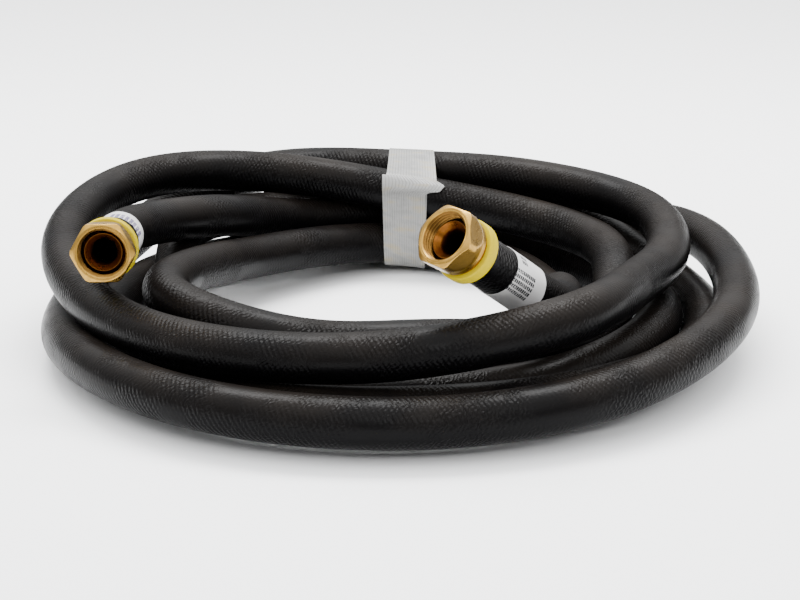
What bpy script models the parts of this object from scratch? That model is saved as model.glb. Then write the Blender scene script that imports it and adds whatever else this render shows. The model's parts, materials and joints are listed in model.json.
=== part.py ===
"""Coiled rubber hose with a brass swivel fitting on each end, tied once with tape.

Metres, +Z up. The coil lies on the floor at z = 0, and the origin is on the floor under the middle of
the coil. The hose runs counter-clockwise seen from above, from the raised end to the left-hand end.
"""
import math

import bmesh
import bpy
import numpy as np
from mathutils import Matrix, Vector

MM = 0.001

# Clearance left between touching pieces, the number of flats on a turned piece, and the distance
# under which two points are one
GAP = 0.0003
ROUND_STEPS = 40
SAME_POINT = 0.00001

# Hose
HOSE_D = 0.0270
HOSE_BEVEL_RESOLUTION = 4

# Each end of the hose: the middle of its end face, and the way the fitting points out of it
RAISED_END = Vector((0.0339, 0.0326, 0.0964))
RAISED_OUTWARDS = Vector((-0.576, -0.614, 0.539)).normalized()
LOW_END = Vector((-0.1608, 0.0964, 0.0804))
LOW_OUTWARDS = Vector((0.019, -0.992, 0.125)).normalized()
STRAIGHT_RUN = 0.077

# Coil: its middle, the step between the stations below and the step between the tube's own points
COIL_MIDDLE = Vector((0.0, 0.200, 0.0))
STATION_STEP = 30.0
TUBE_STEP = 22.5
FIRST_STATION = -30.0
LEAST_STEP_TO_STRAIGHT = 10.0

# Stations of the hose's centre line, one row for each turn: reach from the coil's middle and height,
# in millimetres, at every 30 degrees from just right of the front
TURNS = (
    # down from the raised end, then the innermost turn, lifted at the left
    ((105, 42), (91, 20), (100, 14), (126, 15), (139, 19), (121, 26),
     (112, 33), (120, 41), (148, 45), (127, 31), (108, 28), (117, 24)),
    # climbs over the others at the back and the left, then crosses the front
    ((128, 14), (131, 34), (141, 41), (133, 48), (134, 57), (157, 69),
     (189, 75), (202, 61), (194, 44), (192, 42), (186, 46), (185, 58)),
    # top turn at the back, then the widest turn along the front
    ((146, 48), (161, 46), (186, 53), (159, 66), (163, 66), (202, 62),
     (201, 40), (199, 19), (209, 19), (219, 22), (217, 20), (213, 24)),
    # outside at the right and the back, then on the floor
    ((208, 33), (202, 38), (213, 40), (210, 31), (200, 37), (180, 38),
     (160, 43), (138, 18), (150, 14), (161, 14), (160, 14), (158, 14)),
    # on the floor all the way round
    ((158, 18), (157, 18), (154, 15), (172, 15), (182, 16), (166, 15),
     (171, 14), (171, 14), (180, 14), (190, 14), (189, 16), (186, 15)),
    # on the floor at the right, then up through the back to the left-hand end
    ((187, 14), (185, 14), (185, 21), (181, 44), (164, 38), (148, 40),
     (133, 57), (157, 67)),
)

# Collar: a plastic cup over the end of the hose
COLLAR_D = 0.0340
COLLAR_LENGTH = 0.0070
COLLAR_WALL = 0.0018
COLLAR_ROUNDING = 0.0009

# Stem: seat, lip, head, neck, flange and barbed tail
STEM_BORE_D = 0.0140
NECK_D = 0.0194
FLANGE_D = 0.0284
FLANGE_LENGTH = 0.0017
SEAT_D = 0.0200
SEAT_ANGLE = math.radians(37.0)
LIP_D = 0.0206
LIP_CHAMFER = 0.0002
HEAD_LENGTH = 0.0008
TAIL_LENGTH = 0.0420
BARB_D = 0.0206
BARB_ROOT_D = 0.0186
BARB_PITCH = 0.0080
BARB_COUNT = 4
FIRST_BARB = 0.0040

# Swivel nut
NUT_FLATS = 0.03175
NUT_LENGTH = 0.0162
NUT_CHAMFER_ANGLE = math.radians(30.0)
NUT_FACE_STEP = 0.0004
NUT_BOSS_D = 0.0312
NUT_BOSS_LENGTH = 0.0030
NUT_BOSS_CHAMFER = 0.0006
NUT_SHOULDER_LENGTH = 0.0062
NUT_BACK_WALL = 0.0025
SOCKET_DEPTH = 0.0055
THREAD_MINOR_D = 0.0247
THREAD_LEAD_IN = 0.0010

# How far each nut has been turned on its stem, as it lies
NUT_TURN_RIGHT = math.radians(24.0)
NUT_TURN_LEFT = math.radians(30.0)

# Labels wrapped round the hose
LABEL_WIDTH = 0.0270
LABEL_THICKNESS = 0.0004
LABEL_DISTANCE = 0.0235

# Tape round the turns at the back of the coil
TAPE_LEFT_X = -0.0145
TAPE_RIGHT_X = 0.0180
TAPE_THICKNESS = 0.0008
TAPE_ARC_STEPS = 24

# Sizes that follow from the ones above, measured from the hose's end face outwards
HOSE_R = HOSE_D / 2
COLLAR_FRONT = GAP + COLLAR_WALL
FLANGE_BACK = COLLAR_FRONT + GAP
FLANGE_FRONT = FLANGE_BACK + FLANGE_LENGTH
NUT_BACK = FLANGE_FRONT + GAP
NUT_FRONT = NUT_BACK + NUT_LENGTH
NUT_CORNER_R = NUT_FLATS / math.sqrt(3)
STEM_FRONT = NUT_FRONT - SOCKET_DEPTH
HEAD_R = THREAD_MINOR_D / 2 - GAP
COLLAR_BACK = COLLAR_FRONT - COLLAR_LENGTH
LABEL_FRONT = COLLAR_BACK - LABEL_DISTANCE
POCKET_R = BARB_D / 2 + GAP
POCKET_DEPTH = TAIL_LENGTH + GAP


def clear_scene():
    for old in list(bpy.data.objects):
        bpy.data.objects.remove(old, do_unlink=True)


def new_collection(name):
    collection = bpy.data.collections.new(name)
    bpy.context.scene.collection.children.link(collection)
    return collection


def material(name, colour, roughness, metallic=0.0):
    made = bpy.data.materials.new(name)
    made.use_nodes = True
    shader = made.node_tree.nodes["Principled BSDF"]
    shader.inputs["Base Color"].default_value = (*colour, 1.0)
    shader.inputs["Roughness"].default_value = roughness
    shader.inputs["Metallic"].default_value = metallic
    return made


def mesh_object(name, mesh, collection, finish=None, parent=None):
    made = bpy.data.objects.new(name, mesh)
    collection.objects.link(made)
    made.parent = parent
    if finish:
        mesh.materials.append(finish)
    return made


def turned(name, profile, collection, finish, parent):
    """Closed profile of (radius, height) points, spun round the local Z axis."""
    mesh = bpy.data.meshes.new(name)
    count = len(profile)
    edges = [(i, (i + 1) % count) for i in range(count)]
    mesh.from_pydata([(radius, 0.0, height) for radius, height in profile], edges, [])
    made = mesh_object(name, mesh, collection, finish, parent)
    spin = made.modifiers.new("spin", "SCREW")
    spin.axis = "Z"
    spin.steps = ROUND_STEPS
    spin.render_steps = ROUND_STEPS
    spin.use_merge_vertices = True
    spin.merge_threshold = SAME_POINT
    return made


def boolean(target, cutter, operation):
    cut = target.modifiers.new(cutter.name, "BOOLEAN")
    cut.object = cutter
    cut.operation = operation
    cut.solver = "EXACT"
    cutter.hide_render = True
    cutter.display_type = "WIRE"


def prism(name, sides, radius, low, high, collection, parent):
    """Upright prism with flat ends, from height low to height high."""
    shape = bmesh.new()
    place = Matrix.Translation((0.0, 0.0, (low + high) / 2))
    bmesh.ops.create_cone(shape, cap_ends=True, segments=sides, radius1=radius, radius2=radius,
                          depth=high - low, matrix=place)
    mesh = bpy.data.meshes.new(name)
    shape.to_mesh(mesh)
    shape.free()
    return mesh_object(name, mesh, collection, parent=parent)


def end_frame(name, end, outwards, collection):
    """Empty on the hose's end face, with its Z axis pointing out along the fitting."""
    frame = bpy.data.objects.new(name, None)
    collection.objects.link(frame)
    frame.location = end - centre
    frame.rotation_mode = "QUATERNION"
    frame.rotation_quaternion = outwards.to_track_quat("Z", "Y")
    return frame


def natural_spline(knots, values, places):
    """Smooth curve through values at knots, read at places: a natural cubic spline."""
    count = len(knots)
    step = np.diff(knots)
    slope = np.diff(values, axis=0) / step[:, None]
    system = np.eye(count)
    right = np.zeros_like(values)
    for i in range(1, count - 1):
        system[i, i - 1:i + 2] = step[i - 1], 2 * (step[i - 1] + step[i]), step[i]
        right[i] = 6 * (slope[i] - slope[i - 1])
    bend = np.linalg.solve(system, right)
    i = np.clip(np.searchsorted(knots, places) - 1, 0, count - 2)
    after = (places - knots[i])[:, None]
    before = (knots[i + 1] - places)[:, None]
    span = step[i][:, None]
    return (bend[i] * before ** 3 + bend[i + 1] * after ** 3) / (6 * span) \
        + (values[i] / span - bend[i] * span / 6) * before \
        + (values[i + 1] / span - bend[i + 1] * span / 6) * after


def angle_of(point):
    offset = point - COIL_MIDDLE
    return math.degrees(math.atan2(offset.y, offset.x))


def hose_route():
    """Centre line of the tube as points, read from a smooth curve through ends and stations."""
    raised = [RAISED_END - RAISED_OUTWARDS * STRAIGHT_RUN * part for part in (0.0, 0.5, 1.0)]
    low = [LOW_END - LOW_OUTWARDS * STRAIGHT_RUN * part for part in (1.0, 0.5, 0.0)]
    knots = [angle_of(point) for point in raised]
    points = list(raised)
    stations = [station for turn in TURNS for station in turn]
    for number, (reach, height) in enumerate(stations):
        angle = FIRST_STATION + STATION_STEP * number
        knots.append(angle)
        across = Vector((math.cos(math.radians(angle)), math.sin(math.radians(angle)), 0.0))
        points.append(COIL_MIDDLE + across * reach * MM + Vector((0.0, 0.0, height * MM)))
    for point in low:
        turns_before = math.ceil((knots[-1] - angle_of(point)) / 360.0)
        knots.append(angle_of(point) + 360.0 * turns_before)
        points.append(point)
    first = knots[2] + LEAST_STEP_TO_STRAIGHT
    last = knots[-3] - LEAST_STEP_TO_STRAIGHT
    between = np.arange(math.ceil(first / TUBE_STEP), math.floor(last / TUBE_STEP) + 1) * TUBE_STEP
    places = np.concatenate([[knots[0], knots[2]], between, [knots[-3], knots[-1]]])
    route = natural_spline(np.array(knots), np.array(points), places)
    route[:, 2] = np.maximum(route[:, 2], HOSE_R)
    return route


def make_hose(route, raised_frame, low_frame):
    curve = bpy.data.curves.new("hose_line", "CURVE")
    curve.dimensions = "3D"
    curve.bevel_depth = HOSE_R
    curve.bevel_resolution = HOSE_BEVEL_RESOLUTION
    curve.use_fill_caps = True
    line = curve.splines.new("POLY")
    line.points.add(len(route) - 1)
    for point, place in zip(line.points, route):
        point.co = (*place, 1.0)
    swept = bpy.data.objects.new("hose_line", curve)
    parts.objects.link(swept)
    bpy.context.view_layer.update()

    seen = swept.evaluated_get(bpy.context.evaluated_depsgraph_get())
    mesh = bpy.data.meshes.new_from_object(seen)
    shape = bmesh.new()
    shape.from_mesh(mesh)
    bmesh.ops.remove_doubles(shape, verts=shape.verts, dist=SAME_POINT)
    bmesh.ops.recalc_face_normals(shape, faces=shape.faces)
    shape.to_mesh(mesh)
    shape.free()
    mesh.name = "hose"
    mesh.materials.clear()
    hose = mesh_object("hose", mesh, parts, rubber)
    hose.matrix_world = swept.matrix_world.copy()
    bpy.data.objects.remove(swept, do_unlink=True)

    for side, frame in (("raised", raised_frame), ("low", low_frame)):
        pocket = prism("hose_pocket_" + side, ROUND_STEPS, POCKET_R, -POCKET_DEPTH, GAP,
                       cutters, frame)
        boolean(hose, pocket, "DIFFERENCE")
    return hose


def stem_profile():
    """Outer side from the seat down to the end of the tail, then back up the bore."""
    neck_r = NECK_D / 2
    lip_r = LIP_D / 2
    taper_low = NUT_BACK + NUT_BACK_WALL + GAP
    taper_high = taper_low + HEAD_R - neck_r
    seat_depth = (SEAT_D - STEM_BORE_D) / 2 / math.tan(SEAT_ANGLE)
    profile = [
        (SEAT_D / 2, STEM_FRONT),
        (lip_r, STEM_FRONT - LIP_CHAMFER),
        (lip_r, taper_high + HEAD_LENGTH + HEAD_R - lip_r),
        (HEAD_R, taper_high + HEAD_LENGTH),
        (HEAD_R, taper_high),
        (neck_r, taper_low),
        (neck_r, FLANGE_FRONT),
        (FLANGE_D / 2, FLANGE_FRONT),
        (FLANGE_D / 2, FLANGE_BACK),
        (neck_r, FLANGE_BACK),
        (neck_r, -FIRST_BARB / 2),
        (BARB_ROOT_D / 2, -FIRST_BARB / 2),
    ]
    for number in range(BARB_COUNT):
        top = -FIRST_BARB - number * BARB_PITCH
        profile.append((BARB_ROOT_D / 2, top))
        profile.append((BARB_D / 2, top))
    profile += [
        (BARB_ROOT_D / 2, -FIRST_BARB - BARB_COUNT * BARB_PITCH),
        (BARB_ROOT_D / 2, -TAIL_LENGTH),
        (STEM_BORE_D / 2, -TAIL_LENGTH),
        (STEM_BORE_D / 2, STEM_FRONT - seat_depth),
    ]
    return profile


def collar_profile():
    """Cup with a hole for the neck in its front wall and a skirt round the hose."""
    return [
        (COLLAR_D / 2, COLLAR_FRONT),
        (COLLAR_D / 2, COLLAR_BACK),
        (HOSE_R + GAP, COLLAR_BACK),
        (HOSE_R + GAP, GAP),
        (NECK_D / 2 + GAP, GAP),
        (NECK_D / 2 + GAP, COLLAR_FRONT),
    ]


def nut_profile():
    """Turned blank of the nut, wider than its corners, before the flats are cut."""
    face_r = NUT_FLATS / 2 - NUT_FACE_STEP
    blank_r = NUT_CORNER_R + GAP
    chamfer = (blank_r - face_r) * math.tan(NUT_CHAMFER_ANGLE)
    boss_front = NUT_BACK + NUT_BOSS_LENGTH
    boss_r = NUT_BOSS_D / 2
    hole_r = NECK_D / 2 + GAP
    bore_r = THREAD_MINOR_D / 2
    wall_front = NUT_BACK + NUT_BACK_WALL
    return [
        (face_r, NUT_FRONT),
        (blank_r, NUT_FRONT - chamfer),
        (blank_r, boss_front + NUT_SHOULDER_LENGTH),
        (boss_r, boss_front),
        (boss_r, NUT_BACK + NUT_BOSS_CHAMFER),
        (boss_r - NUT_BOSS_CHAMFER, NUT_BACK),
        (hole_r, NUT_BACK),
        (hole_r, wall_front),
        (bore_r, wall_front + bore_r - hole_r),
        (bore_r, NUT_FRONT - THREAD_LEAD_IN),
        (bore_r + THREAD_LEAD_IN, NUT_FRONT),
    ]


def label_profile():
    inner = HOSE_R + GAP
    return [
        (inner + LABEL_THICKNESS, LABEL_FRONT),
        (inner + LABEL_THICKNESS, LABEL_FRONT - LABEL_WIDTH),
        (inner, LABEL_FRONT - LABEL_WIDTH),
        (inner, LABEL_FRONT),
    ]


def make_fitting(side, frame, nut_turn):
    """Stem, collar, swivel nut and label on one end of the hose."""
    turned("stem_" + side, stem_profile(), parts, brass, frame)
    collar = turned("collar_" + side, collar_profile(), parts, yellow_plastic, frame)
    rounding = collar.modifiers.new("rounded edges", "BEVEL")
    rounding.width = COLLAR_ROUNDING
    rounding.segments = 2
    rounding.limit_method = "ANGLE"
    rounding.angle_limit = math.radians(30.0)
    nut = turned("swivel_nut_" + side, nut_profile(), parts, brass, frame)
    flats = prism("nut_flats_" + side, 6, NUT_CORNER_R, NUT_BACK - GAP, NUT_FRONT + GAP,
                  cutters, frame)
    flats.rotation_euler.z = nut_turn
    boolean(nut, flats, "INTERSECT")
    turned("label_" + side, label_profile(), parts, white_label, frame)


def crossings(route, x):
    """Places (y, z) where the hose passes the plane at x behind the coil's middle."""
    found = []
    for start, end in zip(route[:-1], route[1:]):
        if (start[0] - x) * (end[0] - x) <= 0 and start[0] != end[0]:
            part = (x - start[0]) / (end[0] - start[0])
            place = start + (end - start) * part
            if place[1] > COIL_MIDDLE.y - centre.y:
                found.append((place[1], place[2]))
    return found


def outline_round(points):
    """Convex outline of points, counter-clockwise."""
    ordered = sorted(set(points))

    def half(run):
        kept = []
        for point in run:
            while len(kept) > 1 and cross(kept[-2], kept[-1], point) <= 0:
                kept.pop()
            kept.append(point)
        return kept[:-1]

    return half(ordered) + half(ordered[::-1])


def cross(first, second, third):
    return (second[0] - first[0]) * (third[1] - first[1]) \
        - (second[1] - first[1]) * (third[0] - first[0])


def make_tape(route):
    """Band drawn tight round every turn that passes the back of the coil."""
    reach = HOSE_R + GAP
    rim = []
    for x in (TAPE_LEFT_X, 0.0, TAPE_RIGHT_X):
        for y, z in crossings(route, x):
            for number in range(TAPE_ARC_STEPS):
                angle = math.tau * number / TAPE_ARC_STEPS
                rim.append((round(y + reach * math.cos(angle), 6),
                            round(z + reach * math.sin(angle), 6)))
    outline = outline_round(rim)
    shape = bmesh.new()
    left = [shape.verts.new((TAPE_LEFT_X, y, z)) for y, z in outline]
    right = [shape.verts.new((TAPE_RIGHT_X, y, z)) for y, z in outline]
    count = len(outline)
    for number in range(count):
        after = (number + 1) % count
        shape.faces.new((left[number], left[after], right[after], right[number]))
    bmesh.ops.recalc_face_normals(shape, faces=shape.faces)
    mesh = bpy.data.meshes.new("tie_tape")
    shape.to_mesh(mesh)
    shape.free()
    tape = mesh_object("tie_tape", mesh, parts, white_film)
    wall = tape.modifiers.new("thickness", "SOLIDIFY")
    wall.thickness = TAPE_THICKNESS
    wall.offset = 1.0
    return tape


def shade_round(made):
    made.data.shade_smooth()
    made.data.set_sharp_from_angle(angle=math.radians(35.0))


clear_scene()
parts = new_collection("hose_assembly")
cutters = new_collection("cutters")

rubber = material("black_rubber", (0.022, 0.021, 0.021), 0.55)
brass = material("brass", (0.72, 0.53, 0.24), 0.3, 1.0)
yellow_plastic = material("yellow_plastic", (0.90, 0.60, 0.06), 0.4)
white_label = material("white_label", (0.85, 0.85, 0.84), 0.5)
white_film = material("white_film", (0.82, 0.83, 0.84), 0.3)

# The coil's own middle is moved over the origin
centre = Vector((0.0, 0.0, 0.0))
tube_points = hose_route()
low_corner = tube_points.min(axis=0)
high_corner = tube_points.max(axis=0)
centre = Vector(((low_corner[0] + high_corner[0]) / 2, (low_corner[1] + high_corner[1]) / 2, 0.0))
tube_points = tube_points - np.array(centre)

raised_fitting = end_frame("fitting_right", RAISED_END, RAISED_OUTWARDS, parts)
low_fitting = end_frame("fitting_left", LOW_END, LOW_OUTWARDS, parts)
make_hose(tube_points, raised_fitting, low_fitting)
make_fitting("right", raised_fitting, NUT_TURN_RIGHT)
make_fitting("left", low_fitting, NUT_TURN_LEFT)
make_tape(tube_points)

for piece in parts.objects:
    if piece.type == "MESH":
        shade_round(piece)
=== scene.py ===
"""Looks of a coiled rubber hose with a brass swivel fitting on each end, tied once with tape.

Metres, +Z up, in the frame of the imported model. The file follows the object as it is put together:
the hose first, then the fitting pushed into each end, the labels, and the tape round the coil.
"""

import json
import math

import bmesh
import bpy
import numpy as np
from mathutils import Matrix, Vector


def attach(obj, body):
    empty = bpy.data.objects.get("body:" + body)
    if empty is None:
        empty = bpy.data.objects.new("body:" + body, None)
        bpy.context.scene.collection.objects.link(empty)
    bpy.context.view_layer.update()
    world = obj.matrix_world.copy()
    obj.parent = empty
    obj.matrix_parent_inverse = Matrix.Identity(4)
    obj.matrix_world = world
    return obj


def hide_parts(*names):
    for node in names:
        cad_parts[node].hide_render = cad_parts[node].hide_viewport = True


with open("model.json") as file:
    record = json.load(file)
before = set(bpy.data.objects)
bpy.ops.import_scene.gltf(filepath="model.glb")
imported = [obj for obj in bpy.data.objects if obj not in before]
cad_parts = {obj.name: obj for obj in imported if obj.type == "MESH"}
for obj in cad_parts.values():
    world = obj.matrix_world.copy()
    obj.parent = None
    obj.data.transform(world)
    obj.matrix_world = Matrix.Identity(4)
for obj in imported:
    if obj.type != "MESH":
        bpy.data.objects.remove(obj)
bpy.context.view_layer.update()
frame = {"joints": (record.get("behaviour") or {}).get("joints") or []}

# Camera, light and floor
# A long lens looks down at the coil from the front. Two soft boxes and a pale sky stand for a light
# tent, and the floor is a plain pale sheet.
FOCAL_LENGTH = 83.25
SENSOR_WIDTH = 36.0
CAMERA_PLACE = (0.0, -1.0773, 0.3418)
CAMERA_LOOKS_DOWN = math.radians(16.5)
FLOOR_SIZE = 14.0
FLOOR_DROP = 0.0003

camera_data = bpy.data.cameras.new("camera")
camera_data.lens = FOCAL_LENGTH
camera_data.sensor_width = SENSOR_WIDTH
camera_data.sensor_fit = "HORIZONTAL"
camera = bpy.data.objects.new("camera", camera_data)
camera.location = CAMERA_PLACE
camera.rotation_euler = (math.pi / 2 - CAMERA_LOOKS_DOWN, 0.0, 0.0)
bpy.context.scene.collection.objects.link(camera)
bpy.context.scene.camera = camera


def soft_box(name, place, aim, width, depth, power):
    data = bpy.data.lights.new(name, "AREA")
    data.shape = "RECTANGLE"
    data.size = width
    data.size_y = depth
    data.energy = power
    lamp = bpy.data.objects.new(name, data)
    lamp.location = place
    lamp.rotation_euler = (Vector(aim) - Vector(place)).to_track_quat("-Z", "Y").to_euler()
    bpy.context.scene.collection.objects.link(lamp)


soft_box("top box", place=(0.0, 0.45, 1.30), aim=(0.0, 0.10, 0.0), width=1.5, depth=0.5, power=48.0)
soft_box("front box", place=(0.45, -1.7, 1.1), aim=(0.0, 0.0, 0.05), width=0.9, depth=0.35,
         power=12.0)


def new_node(tree, kind, links=(), **settings):
    """Node of a shader or geometry tree: links pairs an input with a value or with a socket."""
    made = tree.nodes.new(kind)
    for key, value in settings.items():
        setattr(made, key, value)
    for key, value in links:
        if isinstance(value, bpy.types.NodeSocket):
            tree.links.new(value, made.inputs[key])
        else:
            made.inputs[key].default_value = value
    return made


def maths(tree, operation, *values):
    """Result of a math node over numbers or sockets."""
    return new_node(tree, "ShaderNodeMath", enumerate(values), operation=operation).outputs[0]


def ranged(tree, value, low, high, low_result, high_result):
    """Value moved from one range to another and kept inside it."""
    return new_node(tree, "ShaderNodeMapRange", [
        ("Value", value), ("From Min", low), ("From Max", high), ("To Min", low_result),
        ("To Max", high_result)]).outputs[0]


def plain_material(name):
    """New material and its shader, with its nodes ready to be added to."""
    made = bpy.data.materials.new(name)
    made.use_nodes = True
    return made, made.node_tree.nodes["Principled BSDF"]


# Tent: bright overhead and darker towards its sides
TENT_SIDES = 0.15
TENT_TOP = 4.4
TENT_RISE = (0.05, 1.0)
tent = bpy.data.worlds.new("light tent")
tent.use_nodes = True
tent_light = tent.node_tree.nodes["Background"]
tent_light.inputs["Color"].default_value = (0.98, 0.99, 1.0, 1.0)
tent_way = new_node(tent.node_tree, "ShaderNodeTexCoord")
tent_height = new_node(tent.node_tree, "ShaderNodeSeparateXYZ", [
    ("Vector", tent_way.outputs["Generated"])])
tent_power = ranged(tent.node_tree, tent_height.outputs["Z"], *TENT_RISE, TENT_SIDES, TENT_TOP)
tent.node_tree.links.new(tent_power, tent_light.inputs["Strength"])
bpy.context.scene.world = tent

floor_paint, floor_shader = plain_material("pale paper")
floor_shader.inputs["Base Color"].default_value = (0.96, 0.96, 0.96, 1.0)
floor_shader.inputs["Roughness"].default_value = 0.9
floor_mesh = bpy.data.meshes.new("floor")
floor_shape = bmesh.new()
bmesh.ops.create_grid(floor_shape, x_segments=1, y_segments=1, size=FLOOR_SIZE / 2,
                      matrix=Matrix.Translation((0.0, 0.0, -FLOOR_DROP)))
floor_shape.to_mesh(floor_mesh)
floor_shape.free()
floor_mesh.materials.append(floor_paint)
floor = bpy.data.objects.new("floor", floor_mesh)
bpy.context.scene.collection.objects.link(floor)

# Hose
# One length of black rubber hose, cured in a cloth wrapping that leaves its weave in the cover. It
# lies in five and a half loose turns, stiff enough to hold up its raised end by itself.
HOSE_D = 0.0270
HOSE_R = HOSE_D / 2
MM = 0.001
RAISED_END = Vector((0.0339, 0.0326, 0.0964))
RAISED_OUTWARDS = Vector((-0.576, -0.614, 0.539)).normalized()
LOW_END = Vector((-0.1608, 0.0964, 0.0804))
LOW_OUTWARDS = Vector((0.019, -0.992, 0.125)).normalized()
STRAIGHT_RUN = 0.077
COIL_MIDDLE = Vector((0.0, 0.200, 0.0))
STATION_STEP = 30.0
FIRST_STATION = -30.0
# Reach from the coil's middle and height of the centre line, in millimetres, one row for each turn.
# Twenty stations are eased by up to 9 mm from the solid hose, where that one bends too sharply or
# lies a little to one side of the real one.
TURNS = (
    # down from the raised end, then the innermost turn, lifted at the left
    ((107, 39), (99, 18), (104, 14), (126, 15), (139, 19), (119, 26),
     (114, 31), (120, 41), (152, 45), (129, 31), (112, 28), (117, 24)),
    # climbs over the others at the back and the left, then crosses the front
    ((128, 14), (131, 34), (141, 41), (133, 48), (134, 57), (157, 69),
     (191, 75), (202, 61), (194, 44), (192, 42), (186, 46), (182, 57)),
    # top turn at the back, then the widest turn along the front
    ((153, 52), (162, 50), (180, 57), (159, 66), (163, 66), (196, 62),
     (197, 40), (199, 19), (209, 21), (219, 22), (217, 20), (213, 24)),
    # outside at the right and the back, then on the floor
    ((206, 33), (202, 38), (211, 40), (210, 31), (200, 37), (180, 38),
     (160, 43), (138, 18), (150, 14), (161, 14), (160, 14), (158, 14)),
    # on the floor all the way round
    ((158, 18), (157, 18), (154, 15), (172, 15), (182, 16), (166, 15),
     (171, 16), (171, 18), (180, 14), (190, 14), (189, 16), (186, 15)),
    # on the floor at the right, then up through the back to the left-hand end
    ((187, 14), (185, 14), (185, 21), (181, 44), (164, 38), (148, 40),
     (133, 57), (157, 67)),
)
ROUTE_STEPS = 6000
RING_SPACING = 0.0037
RING_SIDES = 40
COVER_SWELL = 0.00012
POCKET_R = 0.0106
POCKET_DEPTH = 0.0423
WEAVE_COLUMNS = 15.0
WEAVE_ROW = 0.0028
WEAVE_ASKEW = 9.0
WEAVE_DEPTH = 0.00030
BLACK_RUBBER = (0.0012, 0.0011, 0.0013)
DUST = (0.0104, 0.0081, 0.0065)
RUBBER_ROUGHNESS = (0.30, 0.42)

# The route is written from its own front, so the nut's place in the frame gives the shift to it
NUT_FRONT = 0.0206
joints = {joint["name"]: joint for joint in frame["joints"]}
shift = Vector(joints["swivel_right"]["pos_m"]) - RAISED_END - RAISED_OUTWARDS * NUT_FRONT


def natural_spline(knots, values, places):
    """Smooth curve through values at knots, read at places: a natural cubic spline."""
    count = len(knots)
    step = np.diff(knots)
    slope = np.diff(values, axis=0) / step[:, None]
    system = np.eye(count)
    right = np.zeros_like(values)
    for i in range(1, count - 1):
        system[i, i - 1:i + 2] = step[i - 1], 2 * (step[i - 1] + step[i]), step[i]
        right[i] = 6 * (slope[i] - slope[i - 1])
    bend = np.linalg.solve(system, right)
    i = np.clip(np.searchsorted(knots, places) - 1, 0, count - 2)
    after = (places - knots[i])[:, None]
    before = (knots[i + 1] - places)[:, None]
    span = step[i][:, None]
    return (bend[i] * before ** 3 + bend[i + 1] * after ** 3) / (6 * span) \
        + (values[i] / span - bend[i] * span / 6) * before \
        + (values[i + 1] / span - bend[i + 1] * span / 6) * after


def angle_of(point):
    offset = point - COIL_MIDDLE
    return math.degrees(math.atan2(offset.y, offset.x))


def hose_route():
    """Evenly spaced points of the hose's centre line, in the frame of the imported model."""
    raised = [RAISED_END - RAISED_OUTWARDS * STRAIGHT_RUN * part for part in (0.0, 0.5, 1.0)]
    low = [LOW_END - LOW_OUTWARDS * STRAIGHT_RUN * part for part in (1.0, 0.5, 0.0)]
    knots = [angle_of(point) for point in raised]
    points = list(raised)
    stations = [station for turn in TURNS for station in turn]
    for number, (reach, height) in enumerate(stations):
        angle = FIRST_STATION + STATION_STEP * number
        knots.append(angle)
        across = Vector((math.cos(math.radians(angle)), math.sin(math.radians(angle)), 0.0))
        points.append(COIL_MIDDLE + across * reach * MM + Vector((0.0, 0.0, height * MM)))
    for point in low:
        turns_before = math.ceil((knots[-1] - angle_of(point)) / 360.0)
        knots.append(angle_of(point) + 360.0 * turns_before)
        points.append(point)
    places = np.linspace(knots[0], knots[-1], ROUTE_STEPS)
    fine = natural_spline(np.array(knots), np.array(points), places)
    fine[:, 2] = np.maximum(fine[:, 2], HOSE_R)
    run = np.concatenate([[0.0], np.cumsum(np.linalg.norm(np.diff(fine, axis=0), axis=1))])
    even = np.linspace(0.0, run[-1], int(run[-1] / RING_SPACING))
    return np.column_stack([np.interp(even, run, fine[:, k]) + shift[k] for k in range(3)]), run[-1]


def tree_with(name, inputs):
    """Geometry tree with a geometry input and output and the named inputs given."""
    tree = bpy.data.node_groups.new(name, "GeometryNodeTree")
    tree.interface.new_socket("Geometry", in_out="INPUT", socket_type="NodeSocketGeometry")
    tree.interface.new_socket("Geometry", in_out="OUTPUT", socket_type="NodeSocketGeometry")
    for label, kind in inputs:
        tree.interface.new_socket(label, in_out="INPUT", socket_type="NodeSocket" + kind)
    return tree, tree.nodes.new("NodeGroupInput"), tree.nodes.new("NodeGroupOutput")


def made_by(tree, name, start, values):
    """Plain mesh object called name that the tree makes from the start object with these inputs."""
    work = start.modifiers.new("made by nodes", "NODES")
    work.node_group = tree
    sockets = {item.name: item.identifier for item in tree.interface.items_tree
               if item.in_out == "INPUT"}
    for label, value in values.items():
        work[sockets[label]] = value
    bpy.context.view_layer.update()
    seen = start.evaluated_get(bpy.context.evaluated_depsgraph_get())
    mesh = bpy.data.meshes.new_from_object(seen)
    mesh.name = name
    bpy.data.objects.remove(start, do_unlink=True)
    made = bpy.data.objects.new(name, mesh)
    bpy.context.scene.collection.objects.link(made)
    return made


def noise(tree, where, scale, detail, roughness=0.5):
    """Soft random values over the places given."""
    return new_node(tree, "ShaderNodeTexNoise", [
        ("Vector", where), ("Scale", scale), ("Detail", detail),
        ("Roughness", roughness)]).outputs["Fac"]


def mixed(tree, part, first, second):
    """Colour between two, each of them three numbers or a socket."""
    first, second = (end if isinstance(end, bpy.types.NodeSocket) else (*end, 1.0)
                     for end in (first, second))
    return new_node(tree, "ShaderNodeMix", [(0, part), (6, first), (7, second)],
                    data_type="RGBA").outputs[2]


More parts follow.
